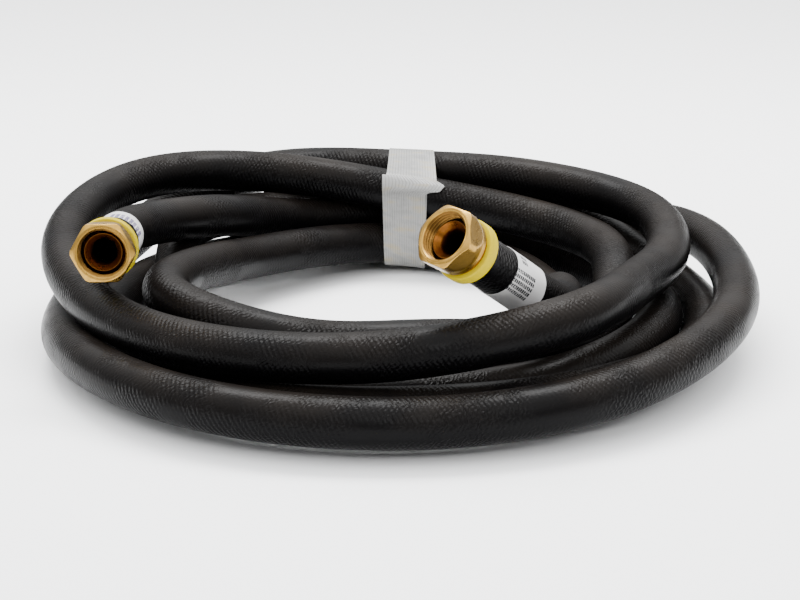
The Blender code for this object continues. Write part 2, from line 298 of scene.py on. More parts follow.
def tube_tree():
    """Tube along a curve, which keeps where each point would be on the hose laid out straight."""
    tree, given, result = tree_with("rubber tube", [
        ("Outside radius", "Float"), ("Sides", "Int"), ("Cover swell", "Float"),
        ("Rubber", "Material")])
    measure = new_node(tree, "GeometryNodeSplineParameter")
    line = new_node(tree, "GeometryNodeCaptureAttribute", domain="POINT")
    line.capture_items.new("FLOAT", "run")
    tree.links.new(given.outputs["Geometry"], line.inputs[0])
    tree.links.new(measure.outputs["Length"], line.inputs[1])
    circle = new_node(tree, "GeometryNodeCurvePrimitiveCircle", [
        ("Resolution", given.outputs["Sides"]), ("Radius", given.outputs["Outside radius"])])
    place = new_node(tree, "GeometryNodeInputPosition")
    rim = new_node(tree, "GeometryNodeCaptureAttribute", domain="POINT")
    rim.capture_items.new("VECTOR", "rim")
    tree.links.new(circle.outputs["Curve"], rim.inputs[0])
    tree.links.new(place.outputs[0], rim.inputs[1])
    sweep = new_node(tree, "GeometryNodeCurveToMesh", [
        ("Curve", line.outputs[0]), ("Profile Curve", rim.outputs[0])])
    across = new_node(tree, "ShaderNodeSeparateXYZ", [("Vector", rim.outputs[1])])
    straight = new_node(tree, "ShaderNodeCombineXYZ", [
        ("X", across.outputs["X"]), ("Y", across.outputs["Y"]), ("Z", line.outputs[1])])
    store = new_node(tree, "GeometryNodeStoreNamedAttribute", [
        ("Geometry", sweep.outputs["Mesh"]), ("Name", "laid_straight")],
        data_type="FLOAT_VECTOR", domain="POINT")
    for socket in store.inputs:
        if socket.name == "Value" and socket.enabled:
            tree.links.new(straight.outputs[0], socket)
    lumps = noise(tree, straight.outputs[0], 45.0, 1.0)
    centred = maths(tree, "SUBTRACT", lumps, 0.5)
    height = maths(tree, "MULTIPLY", centred, given.outputs["Cover swell"])
    way = new_node(tree, "GeometryNodeInputNormal")
    push = new_node(tree, "ShaderNodeVectorMath", [(0, way.outputs[0])], operation="SCALE")
    tree.links.new(height, push.inputs["Scale"])
    swell = new_node(tree, "GeometryNodeSetPosition", [
        ("Geometry", store.outputs[0]), ("Offset", push.outputs[0])])
    real = new_node(tree, "GeometryNodeRealizeInstances", [("Geometry", swell.outputs[0])])
    finish = new_node(tree, "GeometryNodeSetMaterial", [
        ("Geometry", real.outputs[0]), ("Material", given.outputs["Rubber"])])
    tree.links.new(finish.outputs[0], result.inputs["Geometry"])
    return tree


def rubber_material():
    """Black rubber with the print of a cloth wrapping, worn smooth in places and dusty on top."""
    made, shader = plain_material("hose rubber")
    tree = made.node_tree
    straight = new_node(tree, "ShaderNodeAttribute", attribute_name="laid_straight")
    laid = straight.outputs["Vector"]
    parts = new_node(tree, "ShaderNodeSeparateXYZ", [("Vector", laid)])
    turn = maths(tree, "ARCTAN2", parts.outputs["Y"], parts.outputs["X"])
    # Weave: short ridges across the hose, staggered from one column to the next and drawn askew
    drawn = noise(tree, laid, 230.0, 2.0)
    askew = maths(tree, "MULTIPLY", drawn, WEAVE_ASKEW)
    columns = maths(tree, "MULTIPLY_ADD", turn, WEAVE_COLUMNS, askew)
    column_wave = maths(tree, "SINE", columns)
    rows = maths(tree, "MULTIPLY_ADD", parts.outputs["Z"], math.tau / WEAVE_ROW, askew)
    row_wave = maths(tree, "SINE", rows)
    weave = maths(tree, "MULTIPLY", column_wave, row_wave)
    wear = noise(tree, laid, 38.0, 3.0)
    depth = ranged(tree, wear, 0.40, 0.62, 0.08, 1.0)
    print_height = maths(tree, "MULTIPLY", weave, depth)
    grain = noise(tree, laid, 900.0, 2.0)
    rough_print = maths(tree, "MULTIPLY_ADD", grain, 0.5, print_height)
    bump = new_node(tree, "ShaderNodeBump", [
        ("Strength", 0.9), ("Distance", WEAVE_DEPTH), ("Height", rough_print)])
    tree.links.new(bump.outputs[0], shader.inputs["Normal"])

    # Dust lies on what faces up, in clouds along the hose
    facing = new_node(tree, "ShaderNodeNewGeometry")
    up = new_node(tree, "ShaderNodeSeparateXYZ", [("Vector", facing.outputs["Normal"])])
    lies = ranged(tree, up.outputs["Z"], -0.1, 0.95, 0.0, 1.0)
    clouds = noise(tree, laid, 14.0, 5.0, 0.62)
    cloudy = ranged(tree, clouds, 0.38, 0.68, 0.15, 1.0)
    dust = maths(tree, "MULTIPLY", lies, cloudy)
    tree.links.new(mixed(tree, dust, BLACK_RUBBER, DUST), shader.inputs["Base Color"])
    gloss = ranged(tree, wear, 0.3, 0.7, *RUBBER_ROUGHNESS)
    tree.links.new(gloss, shader.inputs["Roughness"])
    shader.inputs["Specular IOR Level"].default_value = 0.10
    shader.inputs["IOR"].default_value = 1.35
    return made


def open_end(shape, end, outwards):
    """Square end of the hose with the pocket that the stem's tail is pushed into."""
    rim = [edge.verts[:] for edge in shape.edges if edge.is_boundary
           and (edge.verts[0].co - end).length < HOSE_D]
    for scale, move in ((POCKET_R / HOSE_R, 0.0), (1.0, POCKET_DEPTH)):
        inner = {}
        for point in (point for pair in rim for point in pair):
            if point not in inner:
                place = end + (point.co - end) * scale - outwards * move
                inner[point] = shape.verts.new(place, point)
        for first, second in rim:
            shape.faces.new((first, second, inner[second], inner[first]))
        rim = [(inner[first], inner[second]) for first, second in rim]
    bmesh.ops.contextual_create(shape, geom=[shape.edges.get(pair) for pair in rim])


route, hose_length = hose_route()
line_data = bpy.data.curves.new("hose line", "CURVE")
line_data.dimensions = "3D"
spline = line_data.splines.new("POLY")
spline.points.add(len(route) - 1)
for point, place in zip(spline.points, route):
    point.co = (*place, 1.0)
hose_line = bpy.data.objects.new("hose line", line_data)
bpy.context.scene.collection.objects.link(hose_line)
rubber = rubber_material()
hose = made_by(tube_tree(), "rubber_hose", hose_line, {
    "Outside radius": HOSE_R, "Sides": RING_SIDES, "Cover swell": COVER_SWELL, "Rubber": rubber})
hose_shape = bmesh.new()
hose_shape.from_mesh(hose.data)
open_end(hose_shape, RAISED_END + shift, RAISED_OUTWARDS)
open_end(hose_shape, LOW_END + shift, LOW_OUTWARDS)
bmesh.ops.recalc_face_normals(hose_shape, faces=hose_shape.faces)
hose_shape.to_mesh(hose.data)
hose_shape.free()
hose.data.shade_smooth()
hose.data.set_sharp_from_angle(angle=math.radians(40.0))
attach(hose, "coil")
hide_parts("hose")

# Fittings: swivel nuts
# Hexagon brass nuts, turned from bar and free to spin on their stems. The front corners are turned
# off at 30 degrees, the back is turned to a round boss, and the inside is threaded 12 to the inch.
NUT_FLATS = 0.03175
NUT_LENGTH = 0.0162
NUT_BACK = -NUT_LENGTH
NUT_TURN = {"right": math.radians(24.0), "left": math.radians(30.0)}
CORNER_R = 0.0176
FACE_R = 0.0152
BOSS_R = 0.0156
BOSS_LENGTH = 0.0030
BOSS_ROUND = 0.0008
SHOULDER_LENGTH = 0.0062
NECK_R = 0.0097
NECK_GAP = 0.0003
BACK_WALL = 0.0025
THREAD_MINOR_R = 0.01235
THREAD_MAJOR_R = 0.01349
THREAD_PITCH = 0.0254 / 12
THREAD_LENGTH = 0.0092
THREAD_STEEPNESS = 2.6
THREAD_ROOT = 0.18
LEAD_IN = 0.0012
CHAMFER_SLOPE = 1.0 / math.tan(math.radians(30.0))
NUT_STEPS = 180
EDGE_ROUND = 0.00035
TOOL_MARK_DEPTH = 0.00005
FACE_EDGE = 0.00015
FACE_GROOVE = ((0.01395, 0.0), (0.01410, -0.00018), (0.01435, -0.00018), (0.01450, 0.0))
INSIDE_R = 0.0138
NUT_BRASS = (0.38, 0.222, 0.046)
NUT_TARNISH = (0.24, 0.138, 0.027)
# Darker brass painted as shade inside the nut
BRASS_IN_PAINTED_SHADE = (0.085, 0.036, 0.009)
# Near black painted as shade deep down the stem's bore
PAINTED_BORE_SHADE = (0.008, 0.005, 0.004)

SIDES = ("right", "left")


def fitting_frame(side):
    """Matrix whose Z axis points out of the nut, from the middle of its front face."""
    joint = joints["swivel_" + side]
    turn = Vector(joint["axis"]).to_track_quat("Z", "Y").to_matrix().to_4x4()
    return Matrix.Translation(joint["pos_m"]) @ turn


def soft_least(first, second, width):
    """Smaller of two radii, with the edge between them rounded over this width."""
    blend = np.clip(0.5 + 0.5 * (second - first) / width, 0.0, 1.0)
    return second * (1.0 - blend) + first * blend - width * blend * (1.0 - blend)


def skin_of(name, points, rows, round_rows, finish):
    """Object over a grid of points, closed from its last row to its first, and round each row."""
    columns = len(points) // rows
    faces = []
    for row in range(rows):
        after = (row + 1) % rows
        for column in range(columns if round_rows else columns - 1):
            beside = (column + 1) % columns
            faces.append((row * columns + column, after * columns + column,
                          after * columns + beside, row * columns + beside))
    if not round_rows:
        faces.append([row * columns for row in reversed(range(rows))])
        faces.append([row * columns + columns - 1 for row in range(rows)])
    mesh = bpy.data.meshes.new(name)
    mesh.from_pydata([tuple(point) for point in points], [], faces)
    mesh.materials.append(finish)
    made = bpy.data.objects.new(name, mesh)
    bpy.context.scene.collection.objects.link(made)
    return made


def face_outwards(mesh):
    shape = bmesh.new()
    shape.from_mesh(mesh)
    bmesh.ops.recalc_face_normals(shape, faces=shape.faces)
    shape.to_mesh(mesh)
    shape.free()


def ringed_piece(name, rings, side, finish):
    """Turned piece over rings of (radii round the turn, height), placed on the fitting's axis."""
    steps = len(rings[0][0])
    angles = np.arange(steps) * math.tau / steps
    points = np.concatenate([
        np.column_stack([radii * np.cos(angles), radii * np.sin(angles), np.full(steps, height)])
        for radii, height in rings])
    made = skin_of(name, points, len(rings), True, finish)
    mesh = made.data
    heights = np.array([height for _, height in rings for _ in range(steps)])
    mesh.attributes.new("depth", "FLOAT", "POINT").data.foreach_set("value", heights)
    widths = np.hypot(points[:, 0], points[:, 1])
    mesh.attributes.new("across", "FLOAT", "POINT").data.foreach_set("value", widths)
    face_outwards(mesh)
    mesh.transform(fitting_frame(side))
    mesh.shade_smooth()
    mesh.set_sharp_from_angle(angle=math.radians(38.0))
    return made


def brass_material(name, bright, deep, roughness):
    """Machined brass: fine rings from the tool, a little dull tarnish, and painted shade inside the
    nut and down the bore.
    """
    made, shader = plain_material(name)
    tree = made.node_tree
    depth = new_node(tree, "ShaderNodeAttribute", attribute_name="depth")
    across = new_node(tree, "ShaderNodeAttribute", attribute_name="across")
    along = maths(tree, "ADD", depth.outputs["Fac"], across.outputs["Fac"])
    tool_marks = new_node(tree, "ShaderNodeTexNoise", [
        ("W", along), ("Scale", 5200.0), ("Detail", 2.0)], noise_dimensions="1D")
    place = new_node(tree, "ShaderNodeTexCoord")
    stains = noise(tree, place.outputs["Object"], 160.0, 6.0, 0.65)
    dull = ranged(tree, stains, 0.42, 0.72, 0.0, 1.0)
    colour = mixed(tree, dull, bright, deep)
    # Painted shade down the stem's bore, growing from 8.5 to 20 mm below the nut's front
    inside = ranged(tree, depth.outputs["Fac"], -0.020, -0.0085, 1.0, 0.0)
    narrow = ranged(tree, across.outputs["Fac"], 0.0071, 0.0080, 1.0, 0.0)
    shade = maths(tree, "MULTIPLY", inside, narrow)
    # Painted shade inside the nut: the brass is darkened from its face to a millimetre in, most at
    # the roots of the thread
    below = ranged(tree, depth.outputs["Fac"], -0.0010, -0.0001, 1.0, 0.0)
    within = maths(tree, "LESS_THAN", across.outputs["Fac"], INSIDE_R)
    groove = ranged(tree, across.outputs["Fac"], THREAD_MINOR_R, THREAD_MAJOR_R, 0.72, 1.0)
    shadowed = maths(tree, "MULTIPLY", below, groove)
    painted_inside_shade = maths(tree, "MULTIPLY", shadowed, within)
    in_nut = mixed(tree, painted_inside_shade, colour, BRASS_IN_PAINTED_SHADE)
    tree.links.new(mixed(tree, shade, in_nut, PAINTED_BORE_SHADE), shader.inputs["Base Color"])
    rough = ranged(tree, stains, 0.35, 0.75, roughness, roughness + 0.18)
    tree.links.new(rough, shader.inputs["Roughness"])
    shader.inputs["Metallic"].default_value = 1.0
    bump = new_node(tree, "ShaderNodeBump", [
        ("Strength", 0.50), ("Distance", TOOL_MARK_DEPTH),
        ("Height", tool_marks.outputs["Fac"])])
    tree.links.new(bump.outputs[0], shader.inputs["Normal"])
    return made


def nut_outside(height, turn):
    """Radii of the outside at this height: flats, turned corners at both ends, and the boss."""
    angles = np.arange(NUT_STEPS) * math.tau / NUT_STEPS - turn
    sixth = math.tau / 6
    flats = NUT_FLATS / 2 / np.cos((angles + sixth / 2) % sixth - sixth / 2)
    rise = min(max((height - NUT_BACK - BOSS_LENGTH) / SHOULDER_LENGTH, 0.0), 1.0)
    back = BOSS_R + (CORNER_R - BOSS_R) * rise * (1.3 - 0.3 * rise)
    edge = min(max((NUT_BACK + BOSS_ROUND - height) / BOSS_ROUND, 0.0), 1.0)
    back -= BOSS_ROUND * (1.0 - math.sqrt(1.0 - edge ** 2))
    turned = np.full(NUT_STEPS, min(FACE_R - height * CHAMFER_SLOPE, back))
    return soft_least(flats, turned, EDGE_ROUND)


def nut_inside(height):
    """Radii of the inside: lead-in, helical thread, then a plain run to the back wall."""
    angles = np.arange(NUT_STEPS) * math.tau / NUT_STEPS
    phase = (height / THREAD_PITCH + angles / math.tau) % 1.0
    ridge = np.clip(THREAD_STEEPNESS * np.abs(phase - 0.5) - THREAD_ROOT, 0.0, 1.0)
    fade = np.clip((height + THREAD_LENGTH) / THREAD_PITCH, 0.0, 1.0)
    threaded = THREAD_MINOR_R + (THREAD_MAJOR_R - THREAD_MINOR_R) * ridge * fade
    return np.maximum(threaded, THREAD_MINOR_R + LEAD_IN + height)


def nut_rings(turn):
    """Rings from the groove in the front face, over the outside, and back through the inside."""
    wall_front = NUT_BACK + BACK_WALL
    hole_r = NECK_R + NECK_GAP
    full = np.full(NUT_STEPS, 1.0)
    rings = [(full * radius, height)
             for radius, height in (*FACE_GROOVE, (FACE_R - FACE_EDGE, 0.0))]
    outside = np.concatenate([
        np.arange(-0.0001, -0.0026, -0.00015), np.arange(-0.0030, -0.0062, -0.0010),
        np.arange(-0.0064, NUT_BACK + BOSS_ROUND, -0.00022),
        NUT_BACK + BOSS_ROUND * np.array([1.0, 0.7, 0.4, 0.2, 0.05, 0.0])])
    rings += [(nut_outside(height, turn), height) for height in outside]
    rings += [(full * hole_r, NUT_BACK), (full * hole_r, wall_front),
              (full * THREAD_MINOR_R, wall_front + THREAD_MINOR_R - hole_r)]
    rings += [(nut_inside(height), height)
              for height in np.arange(-THREAD_LENGTH - 0.0002, -0.00005, 0.00012)]
    rings.append((nut_inside(0.0), 0.0))
    return rings


nut_brass = brass_material("swivel nut brass", NUT_BRASS, NUT_TARNISH, 0.24)
for side in SIDES:
    nut = ringed_piece("hex_nut_" + side, nut_rings(NUT_TURN[side]), side, nut_brass)
    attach(nut, "nut_" + side)
    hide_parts("swivel_nut_" + side)

# Fittings: stems
# Brass stems pushed into the hose. The head inside the nut has a 37 degree seat, a flange stops the
# yellow collar, and a barbed tail grips the inside of the hose.
STEM_STEPS = 96
STEM_BORE_R = 0.0070
SEAT_R = 0.0100
SEAT_LIP = -0.0055
SEAT_ANGLE = math.radians(37.0)
LIP_R = 0.0103
HEAD_R = THREAD_MINOR_R - 0.0003
HEAD_LENGTH = 0.0008
FLANGE_R = 0.0142
FLANGE_LENGTH = 0.0017
TAIL_LENGTH = 0.0420
BARB_R = 0.0103
BARB_ROOT_R = 0.0093
BARB_PITCH = 0.0080
FIRST_BARB = 0.0040
BARB_COUNT = 4
BORE_POINTS = 14
BORE_LOW = -0.055
LIP_CHAMFER = 0.0002
FLANGE_CHAMFER = 0.0004
PIECE_GAP = 0.0003
STEM_BRASS = (0.44, 0.145, 0.020)
STEM_TARNISH = (0.25, 0.076, 0.010)


def stem_outline():
    """Points of (radius, height) from the seat's lip down the outside and back up the bore."""
    hose_end = -NUT_FRONT
    flange_front = NUT_BACK - PIECE_GAP
    flange_back = flange_front - FLANGE_LENGTH
    taper_low = NUT_BACK + BACK_WALL + PIECE_GAP
    head_back = taper_low + HEAD_R - NECK_R
    head_front = head_back + HEAD_LENGTH
    seat_low = SEAT_LIP - (SEAT_R - STEM_BORE_R) / math.tan(SEAT_ANGLE)
    points = [(SEAT_R, SEAT_LIP), (LIP_R - LIP_CHAMFER / 2, SEAT_LIP),
              (LIP_R, SEAT_LIP - LIP_CHAMFER),
              (LIP_R, head_front + HEAD_R - LIP_R), (HEAD_R, head_front), (HEAD_R, head_back),
              (NECK_R, taper_low), (NECK_R, flange_front),
              (FLANGE_R - FLANGE_CHAMFER, flange_front), (FLANGE_R, flange_front - FLANGE_CHAMFER),
              (FLANGE_R, flange_back), (NECK_R, flange_back),
              (NECK_R, hose_end - FIRST_BARB / 2), (BARB_ROOT_R, hose_end - FIRST_BARB / 2)]
    for number in range(BARB_COUNT):
        top = hose_end - FIRST_BARB - number * BARB_PITCH
        points += [(BARB_ROOT_R, top), (BARB_R, top)]
    points += [(BARB_ROOT_R, hose_end - FIRST_BARB - BARB_COUNT * BARB_PITCH),
               (BARB_ROOT_R, hose_end - TAIL_LENGTH), (STEM_BORE_R, hose_end - TAIL_LENGTH)]
    points += [(STEM_BORE_R, height) for height in np.linspace(BORE_LOW, seat_low, BORE_POINTS)]
    points += [(STEM_BORE_R + (SEAT_R - STEM_BORE_R) * part,
                seat_low + (SEAT_LIP - seat_low) * part) for part in (0.25, 0.5, 0.75)]
    return points


stem_brass = brass_material("stem brass", STEM_BRASS, STEM_TARNISH, 0.26)
for side in SIDES:
    rings = [(np.full(STEM_STEPS, radius), height) for radius, height in stem_outline()]
    stem = ringed_piece("push_on_stem_" + side, rings, side, stem_brass)
    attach(stem, "coil")
    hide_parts("stem_" + side)

# Fittings: collars
# Cups of yellow plastic over the ends of the hose, moulded with rounded rims. They hide the cut edge
# of the rubber and show that the stem is pushed fully home.
COLLAR_R = 0.0170
COLLAR_FRONT = -0.0185
COLLAR_LENGTH = 0.0070
COLLAR_WALL = 0.0018
COLLAR_ROUND = 0.0010
COLLAR_LOOSENESS = 0.00015
MOUTH_CHAMFER = 0.0003
YELLOW_DEEP = (0.36, 0.275, 0.0)
YELLOW_PALE = (0.46, 0.36, 0.0005)


def collar_outline():
    """Cup's section from the front face over its rounded rims to the inside."""
    back = COLLAR_FRONT - COLLAR_LENGTH
    turn = [math.pi / 2 * part for part in (0.0, 0.2, 0.4, 0.6, 0.8, 1.0)]
    front_rim = [(COLLAR_R - COLLAR_ROUND * (1 - math.sin(a)),
                  COLLAR_FRONT - COLLAR_ROUND * (1 - math.cos(a))) for a in turn]
    back_rim = [(COLLAR_R - COLLAR_ROUND * (1 - math.cos(a)),
                 back + COLLAR_ROUND * (1 - math.sin(a))) for a in turn]
    inner_r = HOSE_R + COLLAR_LOOSENESS
    hole_r = NECK_R + NECK_GAP
    wall_back = COLLAR_FRONT - COLLAR_WALL
    return front_rim + back_rim + [
        (inner_r + MOUTH_CHAMFER, back), (inner_r, back + MOUTH_CHAMFER), (inner_r, wall_back),
        (hole_r, wall_back), (hole_r, COLLAR_FRONT)]


def yellow_material():
    """Satin yellow plastic, scuffed and faintly mottled."""
    made, shader = plain_material("yellow plastic")
    tree = made.node_tree
    place = new_node(tree, "ShaderNodeTexCoord")
    mottle = noise(tree, place.outputs["Object"], 120.0, 4.0)
    tree.links.new(mixed(tree, mottle, YELLOW_DEEP, YELLOW_PALE), shader.inputs["Base Color"])
    rough = ranged(tree, mottle, 0.0, 1.0, 0.28, 0.46)
    tree.links.new(rough, shader.inputs["Roughness"])
    shader.inputs["Specular IOR Level"].default_value = 0.08
    return made


yellow = yellow_material()
for side in SIDES:
    rings = [(np.full(STEM_STEPS, radius), height) for radius, height in collar_outline()]
    collar = ringed_piece("yellow_collar_" + side, rings, side, yellow)
    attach(collar, "coil")
    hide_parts("collar_" + side)

# Labels
# White printed film wrapped once round the hose behind each fitting, its end stuck down over its
# start. The print is small marks that spell nothing.
LABEL_FRONT = -0.0490
LABEL_WIDTH = 0.0270
LABEL_R = 0.01368
FILM_THICKNESS = 0.00022
FILM_OVERLAP = math.radians(36.0)
SEAM_ANGLE = {"right": math.radians(118.0), "left": math.radians(150.0)}
# Blocks of print: angle round the hose and height of the middle, columns and rows of dots
PRINTED = {
    "right": ((-10.0, -0.0572, 44, 34), (46.0, -0.0565, 11, 13)),
    "left": ((74.0, -0.0570, 34, 34), (28.0, -0.0560, 34, 20)),
}
DOT = 0.00040
DOT_HEIGHT = 0.00004
# Dots from one mark or line to the next, how many of them are printed, and the share left in
MARK_PITCH, MARK_WIDTH = 4.0, 2.5
LINE_PITCH, LINE_WIDTH = 7.0, 4.5
PRINTED_SHARE = 0.90
SEAM_LIFT = 0.00006
FILM_STEPS = 170
FILM_ROWS = 24
FILM_CLIMB = 0.3
FILM_SKEW = 0.0007
FILM_FLARE = 0.00015
FILM_RIPPLE = 0.00005
PAPER_GREY = (0.50, 0.49, 0.49)
PAPER_WHITE = (0.62, 0.61, 0.60)
POINTS_UNDER_LABEL = 40
INKS = {"right": (0.008, 0.008, 0.010, 1.0), "left": (0.16, 0.14, 0.22, 1.0)}


def wrapped_film(name, side, finish):
    """Film wound once round the hose and a little over its own start."""
    turns = np.linspace(0.0, math.tau + FILM_OVERLAP, FILM_STEPS)
    over = np.clip((turns - math.tau + FILM_CLIMB) / FILM_CLIMB, 0.0, 1.0)
    lift = over * over * (3.0 - 2.0 * over) * (FILM_THICKNESS + SEAM_LIFT)
    outer = []
    inner = []
    for row in range(FILM_ROWS):
        part = row / (FILM_ROWS - 1)
        skew = FILM_SKEW * turns / math.tau + FILM_FLARE * np.sin(turns * 5.0) * (2 * part - 1)
        heights = LABEL_FRONT - LABEL_WIDTH * part - skew
        ripple = FILM_RIPPLE * np.sin(turns * 9.0 + part * 4.0)
        for skin, radius in ((outer, LABEL_R + FILM_THICKNESS), (inner, LABEL_R)):
            radii = radius + lift + ripple
            skin.append(np.column_stack([radii * np.cos(turns + SEAM_ANGLE[side]),
                                         radii * np.sin(turns + SEAM_ANGLE[side]), heights]))
    film = skin_of(name, np.concatenate(outer + inner[::-1]), 2 * FILM_ROWS, False, finish)
    face_outwards(film.data)
    settle_on_hose(film.data, side)
    film.data.shade_smooth()
    film.data.set_sharp_from_angle(angle=math.radians(40.0))
    return film


def settle_on_hose(mesh, side):
    """Places a mesh made round the fitting's axis on the hose, where that leaves the axis."""
    turn = fitting_frame(side)
    run = (route if side == "right" else route[::-1])[:POINTS_UNDER_LABEL]
    steps = np.concatenate([[0.0], np.cumsum(np.linalg.norm(np.diff(run, axis=0), axis=1))])
    start = turn @ Vector((0.0, 0.0, -NUT_FRONT))
    way = turn.to_3x3() @ Vector((0.0, 0.0, -1.0))
    strays = [run[:, k] - start[k] - way[k] * steps for k in range(3)]
    places = np.empty(3 * len(mesh.vertices))
    mesh.vertices.foreach_get("co", places)
    places = places.reshape(-1, 3)
    behind = -NUT_FRONT - places[:, 2]
    placed = places @ np.array(turn.to_3x3()).T + np.array(turn.translation)
    placed += np.column_stack([np.interp(behind, steps, stray) for stray in strays])
    mesh.vertices.foreach_set("co", placed.ravel())
    mesh.update()


def print_tree():
    """Block of dots wrapped round a tube, with gaps between the lines and between the marks."""
    tree, given, result = tree_with("printed block", [
        ("Columns", "Int"), ("Rows", "Int"), ("Dot", "Float"), ("Dot height", "Float"),
        ("Radius", "Float"), ("Angle", "Float"), ("Height", "Float"), ("Seed", "Int"),
        ("Ink", "Material")])
    length = maths(tree, "MULTIPLY", given.outputs["Columns"], given.outputs["Dot"])
    girth = maths(tree, "MULTIPLY", given.outputs["Rows"], given.outputs["Dot"])
    grid = new_node(tree, "GeometryNodeMeshGrid", [
        ("Size X", length), ("Size Y", girth), ("Vertices X", given.outputs["Columns"]),
        ("Vertices Y", given.outputs["Rows"])])
    index = new_node(tree, "GeometryNodeInputIndex")
    column = maths(tree, "DIVIDE", index.outputs[0], given.outputs["Rows"])
    whole = maths(tree, "FLOOR", column)
    in_mark = maths(tree, "MODULO", whole, MARK_PITCH)
    mark_gap = maths(tree, "GREATER_THAN", in_mark, MARK_WIDTH)
    row = maths(tree, "MODULO", index.outputs[0], given.outputs["Rows"])
    in_line = maths(tree, "MODULO", row, LINE_PITCH)
    line_gap = maths(tree, "GREATER_THAN", in_line, LINE_WIDTH)
    chance = new_node(tree, "FunctionNodeRandomValue", data_type="FLOAT")
    tree.links.new(given.outputs["Seed"], chance.inputs["Seed"])
    left_out = maths(tree, "GREATER_THAN", chance.outputs[1], PRINTED_SHARE)
    gaps = maths(tree, "MAXIMUM", mark_gap, line_gap)
    empty = maths(tree, "MAXIMUM", gaps, left_out)
    inked = new_node(tree, "GeometryNodeDeleteGeometry", [
        ("Geometry", grid.outputs["Mesh"]), ("Selection", empty)], domain="POINT")
    size = new_node(tree, "ShaderNodeCombineXYZ", [
        ("X", given.outputs["Dot"]), ("Y", given.outputs["Dot"]),
        ("Z", given.outputs["Dot height"])])
    dot = new_node(tree, "GeometryNodeMeshCube", [("Size", size.outputs[0])])
    dots = new_node(tree, "GeometryNodeInstanceOnPoints", [
        ("Points", inked.outputs[0]), ("Instance", dot.outputs["Mesh"])])
    real = new_node(tree, "GeometryNodeRealizeInstances", [("Geometry", dots.outputs[0])])
    place = new_node(tree, "GeometryNodeInputPosition")
    flat = new_node(tree, "ShaderNodeSeparateXYZ", [("Vector", place.outputs[0])])
    arc = maths(tree, "DIVIDE", flat.outputs["Y"], given.outputs["Radius"])
    angle = maths(tree, "ADD", arc, given.outputs["Angle"])
    reach = maths(tree, "ADD", flat.outputs["Z"], given.outputs["Radius"])
    cosine = maths(tree, "COSINE", angle)
    sine = maths(tree, "SINE", angle)
    x = maths(tree, "MULTIPLY", cosine, reach)
    y = maths(tree, "MULTIPLY", sine, reach)
    z = maths(tree, "ADD", flat.outputs["X"], given.outputs["Height"])
    wrapped = new_node(tree, "ShaderNodeCombineXYZ", [("X", x), ("Y", y), ("Z", z)])
    moved = new_node(tree, "GeometryNodeSetPosition", [
        ("Geometry", real.outputs[0]), ("Position", wrapped.outputs[0])])
    finish = new_node(tree, "GeometryNodeSetMaterial", [
        ("Geometry", moved.outputs[0]), ("Material", given.outputs["Ink"])])
    tree.links.new(finish.outputs[0], result.inputs["Geometry"])
    return tree


def empty_start():
    """Mesh object with nothing in it, for a tree that makes everything itself."""
    start = bpy.data.objects.new("start", bpy.data.meshes.new("start"))
    bpy.context.scene.collection.objects.link(start)
    return start


paper, paper_shader = plain_material("white label film")
paper_tree = paper.node_tree
paper_place = new_node(paper_tree, "ShaderNodeTexCoord")
paper_marks = noise(paper_tree, paper_place.outputs["Object"], 90.0, 4.0)
paper_colour = mixed(paper_tree, paper_marks, PAPER_GREY, PAPER_WHITE)
paper_tree.links.new(paper_colour, paper_shader.inputs["Base Color"])
paper_shader.inputs["Roughness"].default_value = 0.38

inks = {}
for side, shade in INKS.items():
    inks[side], ink_shader = plain_material("print on the label, " + side)
    ink_shader.inputs["Base Color"].default_value = shade
    ink_shader.inputs["Roughness"].default_value = 0.5

printed_block = print_tree()
for side in SIDES:
    film = wrapped_film("white_label_" + side, side, paper)
    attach(film, "coil")
    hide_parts("label_" + side)
    for number, (angle, height, columns, rows) in enumerate(PRINTED[side]):
        marks = made_by(printed_block, "label_print_%s_%d" % (side, number + 1), empty_start(), {
            "Columns": columns, "Rows": rows, "Dot": DOT, "Dot height": DOT_HEIGHT,
            "Radius": LABEL_R + FILM_THICKNESS + SEAM_LIFT, "Angle": math.radians(angle),
            "Height": height, "Seed": number + 5, "Ink": inks[side]})
        settle_on_hose(marks.data, side)
        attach(marks, "coil")
        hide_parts("label_" + side)

# Tape
# White tape with glass threads along it, pulled tight round all the turns at the back of the coil.
# The last winding ends at the top of the front with a crooked cut, one corner of which sticks out.
STRAND_GAP = 0.00015
TAPE_FILM = 0.0003
SECOND_LAYER = 0.0007
RING_WAYS = 1441
RING_POINTS = 181
RING_STEP = 0.0015
TAPE_COLUMNS = 132
RIB_COUNT = 18.0
RIB_HEIGHT = 0.00034
WRINKLE = 0.0003
BAND_LENGTH = 271.0
CREASE = 36.5
SLANT = 8.0
SLANT_FADES = 60.0
LAST_LENGTH = 130.0
RING_PLACES = (-0.018, 0.0331)
BAND_STEPS = 180
LAST_STEPS = 130
TAPE_THIN = (0.165, 0.164, 0.158, 1.0)
TAPE_WHITE = (0.215, 0.214, 0.206, 1.0)
TAPE_YELLOWED = (0.255, 0.220, 0.140, 1.0)
TAPE_SOIL = (0.030, 0.029, 0.026)
# Left and right edge in millimetres at distances in millimetres round the band, from its top for
# the first winding and from the crease at its cut end for the last
FIRST_WINDING = ((0.0, -7.2, 23.0), (20.0, -8.0, 24.0), (36.5, -8.8, 24.6), (45.0, -10.5, 18.0),
                 (100.0, -10.5, 16.5), (150.0, -9.0, 18.0), (210.0, -7.5, 21.0), (271.0, -7.2, 23.0))
LAST_WINDING = ((0.0, -11.9, 20.5), (4.5, -12.0, 30.0), (9.0, -12.0, 26.5), (11.0, -12.0, 19.5),
                (13.0, -11.9, 16.8), (80.0, -10.2, 16.8), (130.0, -9.0, 18.0))


